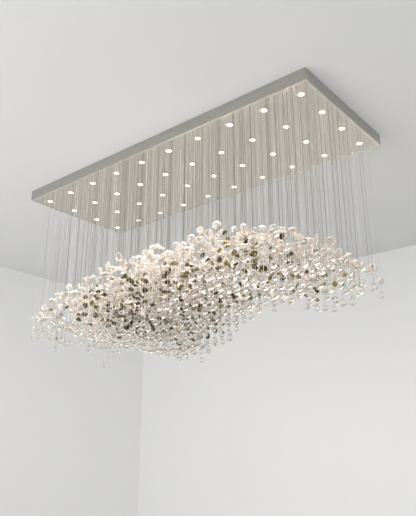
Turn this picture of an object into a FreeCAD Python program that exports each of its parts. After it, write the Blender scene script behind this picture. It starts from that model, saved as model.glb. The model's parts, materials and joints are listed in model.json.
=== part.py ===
"""Rectangular ceiling chandelier: a mirror-bottomed canopy with forty spots and a
cloud of glass petals and drops strung on steel wires.

Frame: +Z up, X along the canopy, the origin on the ceiling at the canopy's middle.
"""
import FreeCAD, Part
import math
import os
import random
import re
import Sketcher

doc = FreeCAD.newDocument("crystal_chandelier")
dims = doc.addObject("Spreadsheet::Sheet", "dims")

# ---------------------------------------------------------------- driving sizes, mm
SIZES = [
    ("canopy_length", 2400, "overall, along X"),
    ("canopy_width", 900, "overall, along Y"),
    ("skirt_height", 76, "visible height of the side panels"),
    ("shadow_gap", 2, "between the ceiling and the panels' top edge"),
    ("skirt_sheet", 3, "side panel sheet"),
    ("ledge_width", 12, "ledge at the panels' foot that carries the plate's edge"),
    ("ledge_sheet", 2, "ledge thickness"),
    ("plate_sheet", 2.5, "mirror plate"),
    ("plate_fit", 0.3, "plate edge to panel"),
    ("bracket_span", 600, "ceiling bracket, along Y"),
    ("bracket_width", 40, "ceiling bracket, along X"),
    ("bracket_sheet", 5, "ceiling bracket"),
    ("bracket_pitch", 900, "from one ceiling bracket to the next"),
    ("anchor_spacing", 500, "between a bracket's two ceiling anchors"),
    ("anchor_radius", 5.5, "ceiling anchor hole, for a 10 mm bolt"),
    ("rail_width", 40, "support rail flange"),
    ("rail_sheet", 2.5, "support rail wall"),
    ("rail_end_gap", 6, "rail end to end panel"),
    ("rail_stud_radius", 4, "bracket's weld stud, 8 mm thread"),
    ("rail_stud_reach", 14, "stud below the bracket"),
    ("plate_stud_radius", 2.5, "plate's weld stud, 5 mm thread"),
    ("plate_stud_reach", 11, "stud above the plate"),
    ("plate_stud_pitch", 430, "between plate studs along a rail"),
    ("stud_fit", 0.5, "stud in its clearance hole"),
    ("thread_fit", 0.05, "nut or tapped hole round its thread"),
    ("rail_nut_flats", 13, "across flats, 8 mm nut"),
    ("rail_nut_height", 6.5, "8 mm nut"),
    ("plate_nut_flats", 8, "across flats, 5 mm nut"),
    ("plate_nut_height", 4.5, "5 mm nut"),
    ("screw_radius", 2, "ledge screw thread"),
    ("screw_head_radius", 4, "ledge screw head"),
    ("screw_head_height", 2.4, "ledge screw head"),
    ("screw_fit", 0.3, "ledge screw in the plate"),
    ("spot_margin", 93, "end of the canopy to the first spot"),
    ("spot_hole_radius", 20, "hole in the plate"),
    ("spot_fit", 0.3, "spot collar in its hole"),
    ("bezel_radius", 23.5, "visible rim"),
    ("bezel_sheet", 1.2, "rim below the plate"),
    ("bezel_collar", 7, "collar above the plate's underside"),
    ("lens_radius", 18, "glass disc"),
    ("lens_sheet", 2, "glass disc"),
    ("lens_fit", 0.2, "lens in its bezel"),
    ("lens_lip", 1.2, "bezel lip under the lens"),
    ("ring_width", 4.5, "retaining ring, radial"),
    ("ring_height", 2.5, "retaining ring"),
    ("sink_height", 34, "heat sink"),
    ("sink_cavity", 14, "reflector cavity above the collar"),
    ("sink_wall", 3.5, "round the cavity"),
    ("sink_fin_depth", 4, "cooling groove"),
    ("sink_fin_width", 2.5, "cooling groove and fin"),
    ("board_sheet", 1.6, "light source board"),
    ("board_fit", 0.3, "board in its cavity"),
    ("chip_radius", 6, "light source"),
    ("chip_height", 1.2, "light source"),
    ("driver_length", 230, "lamp driver"),
    ("driver_width", 46, "lamp driver"),
    ("driver_height", 26, "lamp driver"),
    ("driver_place", 330, "drivers' middle from the canopy's middle, along X"),
    ("terminal_length", 60, "terminal block"),
    ("terminal_width", 24, "terminal block"),
    ("terminal_height", 22, "terminal block"),
    ("clamp_place", 62, "cord clamp from the terminal block's middle"),
    ("clamp_width", 18, "cord clamp, along X"),
    ("clamp_foot", 26, "cord clamp's foot, along Y"),
    ("clamp_tongue", 22, "cord clamp's tongue, along Y"),
    ("clamp_sheet", 3, "cord clamp's foot and web"),
    ("clamp_rise", 34, "plate to the tongue's underside, room for the cord's bend"),
    ("clamp_grip", 10, "cord clamp's tongue, height"),
    ("clamp_bore", 4.2, "upright bore for the supply cord"),
    ("earth_radius", 2.5, "earth stud"),
    ("earth_height", 14, "earth stud"),
    ("earth_place", 70, "earth stud from the terminal block's middle"),
    ("cable_radius", 2.2, "lamp and mains leads"),
    ("cable_gap", 0.2, "lead to the piece that it lies on"),
    ("lead_bend", 6.6, "a lead's bend, to its middle line"),
    ("strand_rows", 11, "rows of wires across the canopy"),
    ("row_margin", 66.5, "outer row to the canopy's edge"),
    ("strand_margin", 62, "first wire to the canopy's end"),
    ("wire_radius", 1.2, "steel wire rope"),
    ("wire_fit", 0.4, "wire in a crystal's drilled hole"),
    ("stop_radius", 4, "stop ball above the plate"),
    ("seat_gap", 0.2, "stop ball to its hole's edge"),
    ("sway_angle", 2, "degrees each way"),
    ("sway_room", 0.3, "wire in its hole at full sway"),
    ("collar_radius", 2.6, "swaged collar under each crystal"),
    ("collar_height", 3, "swaged collar"),
    ("collar_gap", 0.3, "collar to crystal"),
    ("petal_radius", 30, "large clear petal, outer sphere"),
    ("petal_wall", 4, "large clear petal"),
    ("petal_reach", 80, "degrees from its pole to its rim"),
    ("petal_gap", 1.5, "between neighbours in a row"),
    ("bud_radius", 22, "small clear petal, outer sphere"),
    ("bud_wall", 3.5, "small clear petal"),
    ("bud_reach", 88, "degrees from its pole to its rim"),
    ("smoked_radius", 18, "smoked petal, outer sphere"),
    ("smoked_wall", 3, "smoked petal"),
    ("smoked_reach", 74, "degrees from its pole to its rim"),
    ("rim_room", 4.5, "wire's hole to the near part of a petal's rim"),
    ("tail_room", 12, "degrees from the far part of a petal's rim to the wire"),
    ("bead_radius", 13, "clear bead"),
    ("drop_radius", 21, "large clear drop"),
    ("drop_length", 52, "large clear drop"),
    ("droplet_radius", 16.5, "small clear drop"),
    ("droplet_length", 42, "small clear drop"),
    ("drop_shoulder", 35, "degrees above the ball's middle where a drop starts to taper"),
    ("drop_neck", 3.4, "radius of a drop's tip"),
    ("drop_bore_depth", 9, "wire's hole in a drop"),
    ("drop_bore_gap", 0.4, "wire's end to the hole's floor"),
    ("piece_gap_least", 6, "between pieces on one wire"),
    ("piece_gap_most", 46, "between pieces on one wire"),
    ("tail_most", 95, "free wire above a drop"),
    ("top_scatter", 130, "how far a wire's first piece lies under the cloud's top"),
    ("bottom_scatter", 85, "how far a wire's last piece lies over the cloud's foot"),
    ("drop_share", 0.88, "share of the wires that end in a drop"),
    ("thin_from", 0.62, "share of the half length at which the cloud starts to thin out"),
    ("thin_out", 1.3, "how much wider the gaps are at the cloud's ends"),
    ("petal_weight", 1.1, "large petals at the cloud's top, none at its foot"),
    ("bud_weight", 0.5, "small petals, at every height"),
    ("bead_weight", 2.6, "beads at the cloud's foot, none at its top"),
    ("smoked_share", 0.52, "smoked petals where they are most common"),
    ("smoked_middle", 0.55, "depth where they are most common, as a share of the cloud's"),
    ("smoked_spread", 0.46, "from there to where they end, as a share of the cloud's depth"),
]
# How far petals lean off their wire, as shares of the most that their form allows.
LEANS = (0.3, 0.65, 1.0)
SPOT_COLUMNS = 10
SPOT_ROWS = 4
PLATE_STUDS = 5
SIDE_SCREWS = 6
END_SCREWS = 2
SINK_GROOVES = 3
# The cloud's upper and lower outline at nine stations from its left end to its right
# end, as depths below the ceiling.
CLOUD_TOP = [965, 825, 785, 695, 705, 705, 685, 755, 885]
CLOUD_FOOT = [1135, 1100, 1175, 1290, 1200, 1080, 1035, 1110, 975]
SIZES += [("cloud_top_%d" % (i + 1), d, "depth") for i, d in enumerate(CLOUD_TOP)]
SIZES += [("cloud_foot_%d" % (i + 1), d, "depth") for i, d in enumerate(CLOUD_FOOT)]

# Sizes that follow from the ones above.
DERIVED = [
    ("skirt_bottom", "-(shadow_gap + skirt_height)"),
    ("plate_bottom", "skirt_bottom + ledge_sheet"),
    ("plate_top", "plate_bottom + plate_sheet"),
    ("inner_length", "canopy_length - 2 * skirt_sheet"),
    ("inner_width", "canopy_width - 2 * skirt_sheet"),
    ("row_pitch", "(canopy_width - 2 * row_margin) / (strand_rows - 1)"),
    ("spot_pitch_y", "3 * row_pitch"),
    ("spot_pitch_x", "(canopy_length - 2 * spot_margin) / %d" % (SPOT_COLUMNS - 1)),
    ("rail_place", "2.5 * row_pitch"),
    ("inner_lane", "0.5 * row_pitch"),
    ("outer_lane", "3.5 * row_pitch"),
    ("rail_height", "-bracket_sheet - plate_top"),
    ("collar_outer", "spot_hole_radius - spot_fit"),
    ("sink_foot", "plate_bottom + bezel_collar"),
    ("sink_top", "sink_foot + sink_height"),
    ("cavity_top", "sink_foot + sink_cavity"),
    ("cavity_radius", "collar_outer - sink_wall"),
    ("cable_level", "sink_top + cable_gap + cable_radius"),
    ("ledge_middle", "ledge_width / 2"),
    ("clamp_back", "inner_lane - (clamp_tongue + clamp_sheet) / 2"),
    ("clamp_under", "plate_top + clamp_rise"),
]


def fill_sheet():
    """Write each size beside its alias, then the formulas that follow from them."""
    line = 1
    for alias, value, note in SIZES:
        dims.set("A%d" % line, alias)
        dims.set("B%d" % line, str(value))
        dims.set("C%d" % line, note)
        dims.setAlias("B%d" % line, alias)
        line += 1
    for alias, text in DERIVED:
        dims.set("A%d" % line, alias)
        dims.set("B%d" % line, "=" + text)
        dims.setAlias("B%d" % line, alias)
        line += 1
    doc.recompute()


ALIASES = {row[0] for row in SIZES} | {row[0] for row in DERIVED}


def formula(text):
    """Name the sheet in front of each alias of an expression."""
    return re.sub(r"[a-z][a-z_0-9]*", lambda m: "dims." + m[0] if m[0] in ALIASES else m[0], text)


def size(text):
    """Value of an expression of sheet aliases."""
    return float(dims.evalExpression(formula(text)))


def bind(thing, **rules):
    """Bind properties of a document object to sheet expressions."""
    for name, text in rules.items():
        thing.setExpression(name, formula(text))


def put(thing, x="0", y="0", z="0"):
    """Bind a primitive's corner or centre to sheet expressions."""
    for axis, text in (("x", x), ("y", y), ("z", z)):
        thing.setExpression(".Placement.Base." + axis, formula(text))


# ---------------------------------------------------------------- ways to make a piece
def box(name, length, width, height, x, y, z):
    """Block with its lowest corner at x, y, z."""
    block = doc.addObject("Part::Box", name)
    bind(block, Length=length, Width=width, Height=height)
    put(block, x, y, z)
    return block


def rod(name, radius, height, x="0", y="0", z="0"):
    """Upright cylinder that stands on z."""
    cylinder = doc.addObject("Part::Cylinder", name)
    bind(cylinder, Radius=radius, Height=height)
    put(cylinder, x, y, z)
    return cylinder


def joined(name, *pieces):
    fuse = doc.addObject("Part::MultiFuse", name)
    fuse.Shapes = list(pieces)
    return fuse


def cut(name, base, tool):
    result = doc.addObject("Part::Cut", name)
    result.Base = base
    result.Tool = tool
    return result


def group(name, shapes):
    """Several separate solids that share one node."""
    feature = doc.addObject("Part::Feature", name)
    feature.Shape = Part.Compound(shapes)
    return feature


def drills(name, radius, low, high, places):
    """Upright drills, one at each x, y, from low to high."""
    tall = size(high) - size(low)
    tools = [Part.makeCylinder(size(radius), tall, FreeCAD.Vector(x, y, size(low)))
             for x, y in places]
    return group(name, tools)


def origin_plane(body, role):
    return [f for f in body.Origin.OriginFeatures if f.Role == role][0]


def outline(body, role, points):
    """Closed sketch on one of the body's origin planes, each corner held by two sizes."""
    sketch = body.newObject("Sketcher::SketchObject", body.Name + "_outline")
    sketch.AttachmentSupport = (origin_plane(body, role), "")
    sketch.MapMode = "FlatFace"
    corners = [FreeCAD.Vector(size(u), size(v), 0) for u, v in points]
    count = len(corners)
    for i, corner in enumerate(corners):
        sketch.addGeometry(Part.LineSegment(corner, corners[(i + 1) % count]), False)
    for i in range(count):
        sketch.addConstraint(Sketcher.Constraint("Coincident", i, 2, (i + 1) % count, 1))
    for i, (u, v) in enumerate(points):
        for kind, text, axis in (("DistanceX", u, -2), ("DistanceY", v, -1)):
            value = size(text)
            if text == "0":
                sketch.addConstraint(Sketcher.Constraint("PointOnObject", i, 1, axis))
                continue
            place = sketch.addConstraint(Sketcher.Constraint(kind, -1, 1, i, 1, value))
            sketch.setExpression("Constraints[%d]" % place, formula(text))
    return sketch


def turned(name, points):
    """Piece turned about Z from its half section, given as radius and height."""
    body = doc.addObject("PartDesign::Body", name)
    sketch = outline(body, "XZ_Plane", points)
    turn = body.newObject("PartDesign::Revolution", name + "_turn")
    turn.Profile = sketch
    turn.ReferenceAxis = (sketch, ["V_Axis"])
    turn.Angle = 360
    return body


def rail_section(name, points, length):
    """Bar along X from its section in Y and Z."""
    body = doc.addObject("PartDesign::Body", name)
    sketch = outline(body, "YZ_Plane", points)
    pad = body.newObject("PartDesign::Pad", name + "_pad")
    pad.Profile = sketch
    pad.SideType = "Symmetric"
    bind(pad, Length=length)
    return body


def moved(shape, x, y, z=0.0, turn=0.0):
    """Copy of a shape that is turned about Z and then moved."""
    copy = shape.copy(False)
    spin = FreeCAD.Rotation(FreeCAD.Vector(0, 0, 1), turn)
    copy.Placement = FreeCAD.Placement(FreeCAD.Vector(x, y, z), spin) * shape.Placement
    return copy


def copies(name, pattern, places):
    """One copy of a finished pattern piece at each x, y."""
    doc.recompute()
    solid = pattern.Shape.Solids[0]
    return group(name, [moved(solid, x, y) for x, y in places])


def hexagon_nut(name, flats, height, bore, z):
    """Pattern nut that stands on z with its bore on Z."""
    prism = doc.addObject("Part::Prism", name + "_body")
    prism.Polygon = 6
    bind(prism, Circumradius="(%s) / sqrt(3)" % flats, Height=height)
    put(prism, z=z)
    return cut(name, prism, rod(name + "_bore", bore, height, z=z))


# ---------------------------------------------------------------- places
def spread(count, pitch):
    """Places about the middle, one pitch apart."""
    return [(i - (count - 1) / 2) * pitch for i in range(count)]


def spot_places():
    columns = spread(SPOT_COLUMNS, size("spot_pitch_x"))
    return [(x, y) for y in spread(SPOT_ROWS, size("spot_pitch_y")) for x in columns]


def screw_places():
    """Ledge screws along each side panel and each end panel."""
    side = size("inner_width / 2 - ledge_middle")
    end = size("inner_length / 2 - ledge_middle")
    along = spread(SIDE_SCREWS, size("inner_length") / SIDE_SCREWS)
    across = spread(END_SCREWS, size("inner_width") / END_SCREWS)
    return {
        "front": [(x, -side) for x in along],
        "back": [(x, side) for x in along],
        "left": [(-end, y) for y in across],
        "right": [(end, y) for y in across],
    }


def rail_sides():
    return (("front", "-rail_place"), ("back", "rail_place"))


def bracket_places():
    return (("left", "-bracket_pitch"), ("centre", "0"), ("right", "bracket_pitch"))


def stud_places():
    """Plate studs, in a line under each rail's lower flange."""
    columns = spread(PLATE_STUDS, size("plate_stud_pitch"))
    return [(x, side * size("rail_place")) for side in (-1, 1) for x in columns]


def strand_grid():
    """Wires of each row. Each row is shifted by up to half a step, so that the wires don't
    line up behind each other."""
    free = size("canopy_length - 2 * strand_margin")
    least = size("2 * petal_radius + petal_gap")
    columns = int(free / least) + 1
    step = free / (columns - 1)
    rows = []
    for i, y in enumerate(spread(int(size("strand_rows")), size("row_pitch"))):
        shift = random.Random(i).uniform(-step / 2, step / 2)
        rows.append([(x + shift, y) for x in spread(columns, step)])
    return rows


# ---------------------------------------------------------------- canopy and ceiling support
def ceiling_brackets():
    """Flat bars under the ceiling: anchor holes near their ends, two weld studs below."""
    made = []
    for side, x in bracket_places():
        bar = box("bar_" + side, "bracket_width", "bracket_span", "bracket_sheet",
                  x + " - bracket_width / 2", "-bracket_span / 2", "-bracket_sheet")
        places = [(size(x), s * size("anchor_spacing / 2")) for s in (-1, 1)]
        holes = drills("anchor_drills_" + side, "anchor_radius", "-bracket_sheet", "0", places)
        studs = [rod("rail_stud_%s_%s" % (side, rail), "rail_stud_radius", "rail_stud_reach",
                     x, y, "-bracket_sheet - rail_stud_reach")
                 for rail, y in rail_sides()]
        plain = cut("drilled_bar_" + side, bar, holes)
        made.append(joined("ceiling_bracket_" + side, plain, *studs))
    return made


def support_rails():
    """Channels between the brackets and the plate, open towards the canopy's middle."""
    made = []
    for rail, y in rail_sides():
        sign = "-1" if rail == "front" else "1"
        out = "%s + %s * rail_width / 2" % (y, sign)
        skin = "%s + %s * (rail_width / 2 - rail_sheet)" % (y, sign)
        lip = "%s - %s * rail_width / 2" % (y, sign)
        low, high = "plate_top", "-bracket_sheet"
        section = [
            (out, low), (out, high), (lip, high), (lip, high + " - rail_sheet"),
            (skin, high + " - rail_sheet"), (skin, low + " + rail_sheet"),
            (lip, low + " + rail_sheet"), (lip, low),
        ]
        bar = rail_section("rail_bar_" + rail, section, "inner_length - 2 * rail_end_gap")
        upper = [(size(x), size(y)) for _, x in bracket_places()]
        lower = [p for p in stud_places() if p[1] * size(y) > 0]
        top_holes = drills("rail_drills_" + rail, "rail_stud_radius + stud_fit",
                           "-bracket_sheet - rail_sheet", "-bracket_sheet", upper)
        foot_holes = drills("foot_drills_" + rail, "plate_stud_radius + stud_fit",
                            "plate_top", "plate_top + rail_sheet", lower)
        once = cut("drilled_rail_" + rail, bar, top_holes)
        made.append(cut("support_rail_" + rail, once, foot_holes))
    return made


def rail_fasteners():
    """Nuts under the rails' upper flanges, and studs and nuts that hold the plate."""
    nut = hexagon_nut("rail_nut_pattern", "rail_nut_flats", "rail_nut_height",
                      "rail_stud_radius + thread_fit",
                      "-bracket_sheet - rail_sheet - rail_nut_height")
    spots = [(size(x), size(y)) for _, x in bracket_places() for _, y in rail_sides()]
    stud = rod("plate_stud_pattern", "plate_stud_radius", "plate_stud_reach", z="plate_top")
    small = hexagon_nut("plate_nut_pattern", "plate_nut_flats", "plate_nut_height",
                        "plate_stud_radius + thread_fit", "plate_top + rail_sheet")
    return [copies("rail_nuts", nut, spots), copies("plate_studs", stud, stud_places()),
            copies("plate_nuts", small, stud_places())]


def side_panels():
    """Four panels, each a skirt with a ledge inside that carries the plate's edge."""
    holes = screw_places()
    long_ledge = "inner_width / 2 - ledge_width"
    end_ledge = "inner_length / 2 - ledge_width"
    ledge_z = "plate_bottom - ledge_sheet"
    made = []
    for side, web_y, ledge_y in (
        ("front", "-canopy_width / 2", "-inner_width / 2"),
        ("back", "inner_width / 2", long_ledge),
    ):
        web = box("web_" + side, "canopy_length", "skirt_sheet", "skirt_height",
                  "-canopy_length / 2", web_y, "skirt_bottom")
        ledge = box("ledge_" + side, "inner_length", "ledge_width", "ledge_sheet",
                    "-inner_length / 2", ledge_y, ledge_z)
        made.append((side, "side_panel_" + side, web, ledge))
    for side, web_x, ledge_x in (
        ("left", "-canopy_length / 2", "-inner_length / 2"),
        ("right", "inner_length / 2", end_ledge),
    ):
        web = box("web_" + side, "skirt_sheet", "inner_width", "skirt_height",
                  web_x, "-inner_width / 2", "skirt_bottom")
        ledge = box("ledge_" + side, "ledge_width", "inner_width - 2 * ledge_width",
                    "ledge_sheet", ledge_x, "-inner_width / 2 + ledge_width", ledge_z)
        made.append((side, "end_panel_" + side, web, ledge))
    panels = []
    for side, name, web, ledge in made:
        tool = drills("ledge_drills_" + side, "screw_radius + thread_fit",
                      "plate_bottom - ledge_sheet", "plate_bottom", holes[side])
        panels.append(cut(name, joined("blank_" + side, web, ledge), tool))
    return panels


def ledge_screws():
    shank = rod("screw_shank", "screw_radius", "plate_sheet + ledge_sheet",
                z="plate_bottom - ledge_sheet")
    head = rod("screw_head", "screw_head_radius", "screw_head_height", z="plate_top")
    places = [p for side in screw_places().values() for p in side]
    return copies("ledge_screws", joined("ledge_screw_pattern", shank, head), places)


def wire_hole_radius():
    """Wire plus what it leans over at full sway between its stop ball and the underside."""
    lean = size("plate_sheet + stop_radius") * math.tan(math.radians(size("sway_angle")))
    return size("wire_radius + sway_room") + lean


def mirror_plate(rows):
    """Polished plate with a hole for each spot, wire and ledge screw."""
    half_x, half_y = size("inner_length / 2 - plate_fit"), size("inner_width / 2 - plate_fit")
    level = size("plate_bottom")
    corners = [FreeCAD.Vector(x, y, level) for x, y in (
        (-half_x, -half_y), (half_x, -half_y), (half_x, half_y), (-half_x, half_y))]
    wires = [Part.makePolygon(corners + corners[:1])]
    round_holes = [(p, size("spot_hole_radius")) for p in spot_places()]
    round_holes += [(p, wire_hole_radius()) for row in rows for p in row]
    round_holes += [(p, size("screw_radius + screw_fit"))
                    for side in screw_places().values() for p in side]
    down = FreeCAD.Vector(0, 0, -1)
    for (x, y), radius in round_holes:
        wires.append(Part.Wire(Part.makeCircle(radius, FreeCAD.Vector(x, y, level), down)))
    sheet_outline = doc.addObject("Part::Feature", "plate_outline")
    sheet_outline.Shape = Part.Face(wires)
    plate = doc.addObject("Part::Extrusion", "mirror_plate")
    plate.Base = sheet_outline
    plate.DirMode = "Custom"
    plate.Dir = FreeCAD.Vector(0, 0, 1)
    plate.Solid = True
    bind(plate, LengthFwd="plate_sheet")
    return plate


# ---------------------------------------------------------------- spots and wiring
def spots():
    """Forty recessed spots: bezel, lens, retaining ring, heat sink, board and chip."""
    foot, lens_r = "plate_bottom", "lens_radius + lens_fit"
    bezel = turned("bezel_pattern", [
        ("lens_radius - lens_lip", foot + " - bezel_sheet"),
        ("bezel_radius", foot + " - bezel_sheet"), ("bezel_radius", foot),
        ("collar_outer", foot), ("collar_outer", "sink_foot"), (lens_r, "sink_foot"),
        (lens_r, foot), ("lens_radius - lens_lip", foot)])
    lens = rod("lens_pattern", "lens_radius", "lens_sheet", z=foot)
    ring = turned("ring_pattern", [
        ("collar_outer + thread_fit", "plate_top"),
        ("collar_outer + ring_width", "plate_top"),
        ("collar_outer + ring_width", "plate_top + ring_height"),
        ("collar_outer + thread_fit", "plate_top + ring_height")])
    groove = "collar_outer - sink_fin_depth"
    section = [("cavity_radius", "sink_foot"), ("collar_outer", "sink_foot")]
    for step in range(2 * SINK_GROOVES, 0, -2):
        low = "sink_top - %d * sink_fin_width" % step
        high = "sink_top - %d * sink_fin_width" % (step - 1)
        section += [("collar_outer", low), (groove, low), (groove, high), ("collar_outer", high)]
    section += [("collar_outer", "sink_top"), ("0", "sink_top"), ("0", "cavity_top"),
                ("cavity_radius", "cavity_top")]
    sink = turned("sink_pattern", section)
    board = rod("board_pattern", "cavity_radius - board_fit", "board_sheet",
                z="cavity_top - board_sheet")
    chip = rod("chip_pattern", "chip_radius", "chip_height",
               z="cavity_top - board_sheet - chip_height")
    named = (("spot_bezels", bezel), ("spot_lenses", lens), ("spot_retaining_rings", ring),
             ("spot_heat_sinks", sink), ("led_boards", board), ("led_chips", chip))
    return [copies(name, pattern, spot_places()) for name, pattern in named]


def lane_places():
    """Lanes between the wires that hold a driver, and the spot row each one feeds."""
    return [(side * size(lane), side * size(row))
            for side in (-1, 1)
            for lane, row in (("inner_lane", "0.5 * spot_pitch_y"),
                              ("outer_lane", "1.5 * spot_pitch_y"))]


def elbow(x, y0, y1, low):
    """Lead that rises from low at y0 and turns over to y1 at the lamp leads' level."""
    radius, level = size("cable_radius"), size("cable_level")
    bend = size("lead_bend")
    way = 1 if y1 > y0 else -1
    off = bend * (1 - math.sqrt(0.5))
    start, rise = FreeCAD.Vector(x, y0, low), FreeCAD.Vector(x, y0, level - bend)
    knee = FreeCAD.Vector(x, y0 + way * off, level - off)
    over, end = FreeCAD.Vector(x, y0 + way * bend, level), FreeCAD.Vector(x, y1, level)
    path = Part.Wire([Part.LineSegment(start, rise).toShape(),
                      Part.Arc(rise, knee, over).toShape(),
                      Part.LineSegment(over, end).toShape()])
    profile = Part.Wire(Part.makeCircle(radius, start, FreeCAD.Vector(0, 0, 1)))
    return path.makePipeShell([profile], True, False)


def wiring():
    """Lamp leads on top of the heat sinks, and the mains leads under the ceiling."""
    radius, gap = size("cable_radius"), size("cable_gap")
    along, across = FreeCAD.Vector(1, 0, 0), FreeCAD.Vector(0, 1, 0)
    reach = spot_places()[-1][0] + size("collar_outer")
    lamp = []
    for y in spread(SPOT_ROWS, size("spot_pitch_y")):
        start = FreeCAD.Vector(-reach, y, size("cable_level"))
        lamp.append(Part.makeCylinder(radius, 2 * reach, start, along))
    driver_top = size("plate_top + driver_height")
    feed_x = size("driver_place - driver_length / 4")
    mains_x = size("driver_place + driver_length / 4")
    mains_level = -(radius + gap)
    mains = []
    for lane, row in lane_places():
        way = 1 if row > lane else -1
        lamp.append(elbow(feed_x, lane, row - way * (radius + gap), driver_top))
        tap_height = mains_level - radius - gap - driver_top
        mains.append(Part.makeCylinder(radius, tap_height, FreeCAD.Vector(mains_x, lane, driver_top)))
    run = size("outer_lane") + radius
    mains.append(Part.makeCylinder(radius, 2 * run, FreeCAD.Vector(mains_x, -run, mains_level), across))
    start = FreeCAD.Vector(0, size("inner_lane"), size("plate_top + terminal_height") + radius + gap)
    mains.append(Part.makeCylinder(radius, size("driver_place - driver_length / 2"), start, along))
    return [group("lamp_leads", lamp), group("mains_leads", mains)]


def control_gear():
    """Drivers, terminal block, earth stud and cord clamp, all on the plate's top."""
    driver = box("driver_pattern", "driver_length", "driver_width", "driver_height",
                 "driver_place - driver_length / 2", "-driver_width / 2", "plate_top")
    drivers = copies("led_drivers", driver, [(0, lane) for lane, _ in lane_places()])
    block = box("terminal_block", "terminal_length", "terminal_width", "terminal_height",
                "-terminal_length / 2", "inner_lane - terminal_width / 2", "plate_top")
    web, tongue = "clamp_back + clamp_sheet", "clamp_back + clamp_tongue"
    foot, foot_top = "clamp_back + clamp_foot", "plate_top + clamp_sheet"
    section = [("clamp_back", "plate_top"), (foot, "plate_top"), (foot, foot_top), (web, foot_top),
               (web, "clamp_under"), (tongue, "clamp_under"),
               (tongue, "clamp_under + clamp_grip"), ("clamp_back", "clamp_under + clamp_grip")]
    body = rail_section("clamp_body", section, "clamp_width")
    body.setExpression(".Placement.Base.x", formula("-clamp_place"))
    bore = rod("clamp_bore_drill", "clamp_bore", "clamp_grip", "-clamp_place", "inner_lane",
               "clamp_under")
    clamp = cut("cord_clamp", body, bore)
    earth = rod("earth_stud", "earth_radius", "earth_height",
                "earth_place", "-inner_lane", "plate_top")
    return [drivers, block, clamp, earth]


# ---------------------------------------------------------------- crystals
def smooth_at(values, place):
    """Height at a place from 0 to 1 along evenly spaced stations, joined smoothly."""
    at = min(max(place, 0.0), 1.0) * (len(values) - 1)
    i = min(int(at), len(values) - 2)
    t = at - i
    a, b = values[max(i - 1, 0)], values[i]
    c, d = values[i + 1], values[min(i + 2, len(values) - 1)]
    return 0.5 * (2 * b + (c - a) * t + (2 * a - 5 * b + 4 * c - d) * t * t
                  + (3 * b - a - 3 * c + d) * t ** 3)


def on_circle(radius, angle):
    """Point of a half section, at an angle in radians down from the top."""
    return FreeCAD.Vector(radius * math.sin(angle), 0, radius * math.cos(angle))


def turned_solid(edges):
    face = Part.Face(Part.Wire(edges))
    return face.revolve(FreeCAD.Vector(), FreeCAD.Vector(0, 0, 1), 360)


def lines(points):
    return [Part.LineSegment(a, b).toShape() for a, b in zip(points, points[1:])]


def arc(radius, start, end):
    """Arc of a half section from one angle to another."""
    middle = (start + end) / 2
    return Part.Arc(on_circle(radius, start), on_circle(radius, middle),
                    on_circle(radius, end)).toShape()


def petal_blank(radius, wall, reach, lean):
    """Hollow ball turned about the wire with the wire's hole at its pole, sliced off by a
    tilted plane so that a leaning cap is left. Angles in degrees."""
    inner, bore = radius - wall, size("wire_radius + wire_fit")
    outer_start, inner_start = math.asin(bore / radius), math.asin(bore / inner)
    foot = math.radians(lean + reach + size("tail_room") / 2)
    edges = [arc(radius, outer_start, foot)]
    edges += lines([on_circle(radius, foot), on_circle(inner, foot)])
    edges += [arc(inner, foot, inner_start)]
    edges += lines([on_circle(inner, inner_start), on_circle(radius, outer_start)])
    side = 4 * radius
    rim = radius * math.cos(math.radians(reach))
    keep = Part.makeBox(side, side, side, FreeCAD.Vector(-side / 2, -side / 2, rim))
    keep.rotate(FreeCAD.Vector(), FreeCAD.Vector(0, 1, 0), lean)
    return turned_solid(edges).common(keep).Solids[0]


class Form:
    """A crystal's solid round the origin, and its reach up and down the wire. It rests on
    a collar whose top is under the level given."""

    def __init__(self, shape, under):
        self.shape = shape
        self.collar = under - size("collar_gap")
        self.up = shape.BoundBox.ZMax
        self.down = -min(shape.BoundBox.ZMin, self.collar - size("collar_height"))


def petal_forms(kind):
    """Each lean of a petal, hung as a dome and as a cup."""
    radius, wall, reach = (size(kind + part) for part in ("_radius", "_wall", "_reach"))
    most = min(reach - math.degrees(size("rim_room") / radius), 180 - size("tail_room") - reach)
    under_dome = math.sqrt((radius - wall) ** 2 - size("collar_radius") ** 2)
    forms = []
    for share in LEANS:
        dome = petal_blank(radius, wall, reach, share * most)
        cup = dome.copy()
        cup.rotate(FreeCAD.Vector(), FreeCAD.Vector(1, 0, 0), 180)
        forms += [Form(dome, under_dome), Form(cup, -radius)]
    return forms


def bead_form():
    """Ball drilled through along the wire."""
    radius, bore = size("bead_radius"), size("wire_radius + wire_fit")
    start = math.asin(bore / radius)
    end = math.pi - start
    edges = [arc(radius, start, end)] + lines([on_circle(radius, end), on_circle(radius, start)])
    return Form(turned_solid(edges), -radius)


def drop_blank(kind):
    """Drop turned about the wire: a ball that tapers to a drilled tip, its top at z = 0."""
    ball, tall, neck = size(kind + "_radius"), size(kind + "_length"), size("drop_neck")
    bore, depth = size("wire_radius + wire_fit"), size("drop_bore_depth")
    shoulder = math.radians(90 - size("drop_shoulder"))
    round_part = arc(ball, math.pi, shoulder)
    round_part.translate(FreeCAD.Vector(0, 0, ball - tall))
    edge = FreeCAD.Vector(0, 0, ball - tall) + on_circle(ball, shoulder)
    rest = [edge] + [FreeCAD.Vector(r, 0, z) for r, z in (
        (neck, 0), (bore, 0), (bore, -depth), (0, -depth), (0, -tall))]
    return turned_solid([round_part] + lines(rest))


def stop_level():
    """Height of a stop ball's centre, which is where its wire turns."""
    seat = math.sqrt(size("stop_radius") ** 2 - wire_hole_radius() ** 2)
    return size("plate_top + seat_gap") + seat


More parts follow.
